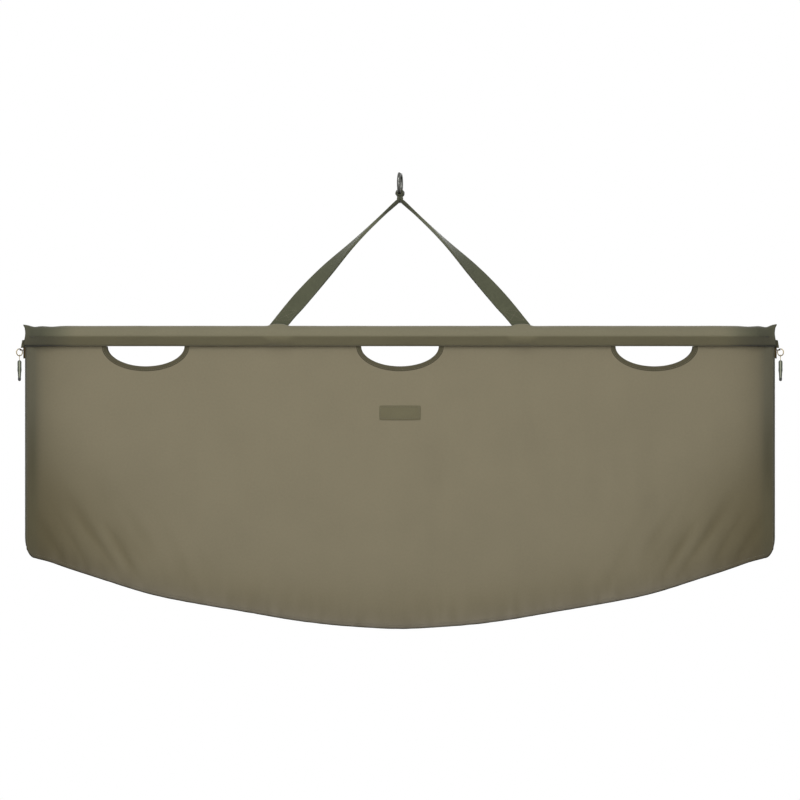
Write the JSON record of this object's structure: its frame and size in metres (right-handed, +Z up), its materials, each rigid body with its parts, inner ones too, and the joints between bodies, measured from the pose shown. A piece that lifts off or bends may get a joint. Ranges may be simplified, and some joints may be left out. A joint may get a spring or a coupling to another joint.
{
  "type": "weigh sling",
  "caption": "Fish weigh sling: cloth bag between sleeved poles, webbing bridle, hang ring, hand holes and end zips.",
  "frame": {"origin": "the hang point, on the inside of the ring's top, where a scale's hook bears", "axes": "+X along the sling to the right seen from the front, -Y out of the front, +Z up; stored closed and hanging"},
  "size_m": [1.2294, 0.0644, 0.7307],
  "materials": {
    "olive_cloth": "fine matt woven cloth, olive brown",
    "sleeve_cloth": "the same cloth, greyer where the light falls on it",
    "binding_tape": "dark olive woven tape",
    "webbing": "olive green nylon webbing, 25 mm",
    "zip_tape": "woven zip tape, greener than the cloth",
    "label": "bare woven patch, stitched round its edge",
    "zip_coil": "coiled zip teeth",
    "bronze": "antique bronze finish",
    "gunmetal": "dark nickel finish",
    "pole_metal": "plain tube, hidden in the sleeve",
    "black_plastic": "moulded end plug",
    "pull_rubber": "moulded grip"
  },
  "bodies": {
    "ring": {"hang_ring": "gunmetal"},
    "loop": {"ring_loop": "webbing"},
    "front_bridle": {"front_left_strap": "webbing", "front_right_strap": "webbing"},
    "front_side": {"front_pole": "pole_metal", "front_left_pole_plug": "black_plastic", "front_right_pole_plug": "black_plastic", "front_sleeve": "sleeve_cloth", "front_panel": "olive_cloth", "front_left_grip_binding": "binding_tape", "front_middle_grip_binding": "binding_tape", "front_right_grip_binding": "binding_tape", "front_left_sleeve_end": "sleeve_cloth", "left_front_zip_tape": "zip_tape", "left_front_zip_coil": "zip_coil", "front_right_sleeve_end": "sleeve_cloth", "right_front_zip_tape": "zip_tape", "right_front_zip_coil": "zip_coil", "label_patch": "label"},
    "keel": {"bottom_seam": "binding_tape", "left_zip_stop": "bronze", "right_zip_stop": "bronze"},
    "rear_side": {"rear_pole": "pole_metal", "rear_left_pole_plug": "black_plastic", "rear_right_pole_plug": "black_plastic", "rear_sleeve": "sleeve_cloth", "rear_panel": "olive_cloth", "rear_left_grip_binding": "binding_tape", "rear_middle_grip_binding": "binding_tape", "rear_right_grip_binding": "binding_tape", "rear_left_sleeve_end": "sleeve_cloth", "left_rear_zip_tape": "zip_tape", "left_rear_zip_coil": "zip_coil", "rear_right_sleeve_end": "sleeve_cloth", "right_rear_zip_tape": "zip_tape", "right_rear_zip_coil": "zip_coil"},
    "rear_bridle": {"rear_left_strap": "webbing", "rear_right_strap": "webbing"},
    "left_slider": {"left_zip_slider": "bronze"},
    "left_hook": {"left_pull_ring": "bronze"},
    "left_eye": {"left_pull_tab": "pull_rubber"},
    "right_slider": {"right_zip_slider": "bronze"},
    "right_hook": {"right_pull_ring": "bronze"},
    "right_eye": {"right_pull_tab": "pull_rubber"}
  },
  "joints": [
    {"name": "ring_swing", "type": "hinge", "parent": "ring", "child": "loop", "pos_m": [0, 0, -0.02975], "axis": [0, 1, 0], "range_deg": [-100, 100]},
    {"name": "spread", "type": "hinge", "parent": "loop", "child": "front_bridle", "pos_m": [0, 0, -0.04053], "axis": [-1, 0, 0], "range_deg": [0, 26]},
    {"name": "front_pole_turn", "type": "hinge", "parent": "front_bridle", "child": "front_side", "pos_m": [0, -0.0162, -0.2577], "axis": [1, 0, 0], "range_deg": [0, 38]},
    {"name": "front_keel_turn", "type": "hinge", "parent": "front_side", "child": "keel", "pos_m": [0, 0, -0.7237], "axis": [-1, 0, 0], "range_deg": [0, 12]},
    {"name": "rear_keel_turn", "type": "hinge", "parent": "keel", "child": "rear_side", "pos_m": [0, 0, -0.7237], "axis": [-1, 0, 0], "range_deg": [0, 12]},
    {"name": "rear_pole_turn", "type": "hinge", "parent": "rear_side", "child": "rear_bridle", "pos_m": [0, 0.0162, -0.2577], "axis": [1, 0, 0], "range_deg": [0, 38]},
    {"name": "left_zip_slide", "type": "slide", "parent": "keel", "child": "left_slider", "axis": [0, 0, -1], "range_m": [0, 0.301]},
    {"name": "left_pull_ring_swing", "type": "hinge", "parent": "left_slider", "child": "left_hook", "pos_m": [-0.60424, 0, -0.28], "axis": [0, 1, 0], "range_deg": [0, 80]},
    {"name": "left_pull_tab_swing", "type": "hinge", "parent": "left_hook", "child": "left_eye", "pos_m": [-0.6084, 0, -0.2891], "axis": [1, 0, 0], "range_deg": [-60, 60]},
    {"name": "right_zip_slide", "type": "slide", "parent": "keel", "child": "right_slider", "axis": [0, 0, -1], "range_m": [0, 0.301]},
    {"name": "right_pull_ring_swing", "type": "hinge", "parent": "right_slider", "child": "right_hook", "pos_m": [0.60424, 0, -0.28], "axis": [0, -1, 0], "range_deg": [0, 80]},
    {"name": "right_pull_tab_swing", "type": "hinge", "parent": "right_hook", "child": "right_eye", "pos_m": [0.6084, 0, -0.2891], "axis": [1, 0, 0], "range_deg": [-60, 60]}
  ],
  "couplings": [
    {"joint": "front_pole_turn", "follows": "spread", "ratio": 1.454},
    {"joint": "front_keel_turn", "follows": "spread", "ratio": 0.454},
    {"joint": "rear_keel_turn", "follows": "spread", "ratio": 0.454},
    {"joint": "rear_pole_turn", "follows": "spread", "ratio": 1.454},
    {"joint": "left_zip_slide", "follows": "spread", "m_per_rad": 0.6633},
    {"joint": "right_zip_slide", "follows": "spread", "m_per_rad": 0.6633}
  ]
}
